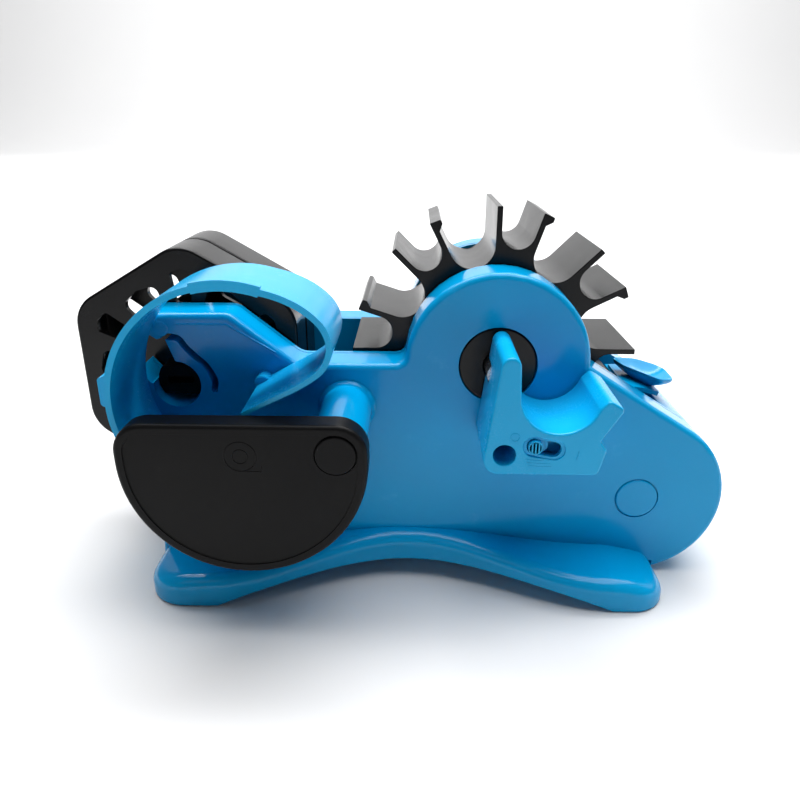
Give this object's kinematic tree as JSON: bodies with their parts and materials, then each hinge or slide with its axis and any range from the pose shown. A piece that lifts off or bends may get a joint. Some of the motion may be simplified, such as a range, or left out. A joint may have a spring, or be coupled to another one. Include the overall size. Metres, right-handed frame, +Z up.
{
  "type": "tape dispenser",
  "caption": "Desktop tape dispenser with a crank-turned arm wheel between hollow side housings, hexagonal tape reels, a sprung blade lever, and a side strap with a swinging half-moon cover.",
  "frame": {"origin": "middle of the bounding box on the table surface", "axes": "+X from the reels towards the nose, +Y from the crank side to the far side, +Z up"},
  "size_m": [0.2032, 0.1044, 0.1152],
  "materials": {
    "blue": "glossy moulded azure plastic",
    "light_blue": "lighter azure plastic, slightly translucent",
    "gloss_black": "glossy black moulding",
    "satin_black": "satin black moulding",
    "steel": "bright steel",
    "rubber": "matt rubber"
  },
  "bodies": {
    "housing": {"base": "blue", "cover_pin": "satin_black", "cover_post": "blue", "far_housing": "blue", "far_inner_cover": "blue", "far_plug": "blue", "far_screw_1": "steel", "far_screw_2": "steel", "far_screw_3": "steel", "far_screw_4": "steel", "lever_pin": "steel", "lever_spring": "steel", "low_roller_pin": "steel", "near_housing": "blue", "near_inner_cover": "blue", "near_plug": "blue", "near_screw_1": "steel", "near_screw_2": "steel", "near_screw_3": "steel", "near_screw_4": "steel", "nose_cover": "blue", "rear_roller_pin": "steel", "reel_shaft": "satin_black", "reel_washer": "satin_black", "roll_strap": "light_blue", "rubber_foot_1": "rubber", "rubber_foot_2": "rubber", "rubber_foot_3": "rubber", "rubber_foot_4": "rubber"},
    "wheel": {"arm_wheel": "gloss_black", "wheel_axle": "steel", "near_hub": "gloss_black", "far_hub": "gloss_black", "crank_handle": "light_blue", "lock_keeper": "light_blue"},
    "lock": {"lock_slider": "light_blue"},
    "front_reel_body": {"front_reel": "gloss_black"},
    "rear_reel_body": {"rear_reel": "gloss_black"},
    "lever": {"blade_lever": "blue", "cutting_blade": "steel", "blade_clamp": "satin_black"},
    "cover": {"half_moon_cover": "satin_black"},
    "rear_roller_body": {"rear_roller": "satin_black"},
    "low_roller_body": {"low_roller": "satin_black"}
  },
  "joints": [
    {"name": "wheel_turn", "type": "hinge", "parent": "housing", "child": "wheel", "pos_m": [0.02875, 0.01415, 0.0712], "axis": [0, 1, 0], "continuous": true},
    {"name": "lock_slide", "type": "slide", "parent": "wheel", "child": "lock", "axis": [0.9829, 0, -0.184], "range_m": [0, 0.005]},
    {"name": "front_reel_turn", "type": "hinge", "parent": "housing", "child": "front_reel_body", "pos_m": [-0.06705, 0.00375, 0.0646], "axis": [0, 1, 0], "continuous": true},
    {"name": "rear_reel_turn", "type": "hinge", "parent": "housing", "child": "rear_reel_body", "pos_m": [-0.06705, 0.02375, 0.0646], "axis": [0, 1, 0], "continuous": true},
    {"name": "blade_lever_turn", "type": "hinge", "parent": "housing", "child": "lever", "pos_m": [0.07455, 0.01415, 0.0273], "axis": [0, 1, 0], "range_deg": [0, 12], "stiffness_Nm_per_rad": 0.05},
    {"name": "cover_swing", "type": "hinge", "parent": "housing", "child": "cover", "pos_m": [-0.01605, -0.04825, 0.0578], "axis": [0, 1, 0], "range_deg": [-20, 90]},
    {"name": "rear_roller_turn", "type": "hinge", "parent": "housing", "child": "rear_roller_body", "pos_m": [-0.02225, 0.01415, 0.0372], "axis": [0, 1, 0], "continuous": true},
    {"name": "low_roller_turn", "type": "hinge", "parent": "housing", "child": "low_roller_body", "pos_m": [0.02075, 0.01415, 0.0202], "axis": [0, 1, 0], "continuous": true}
  ]
}
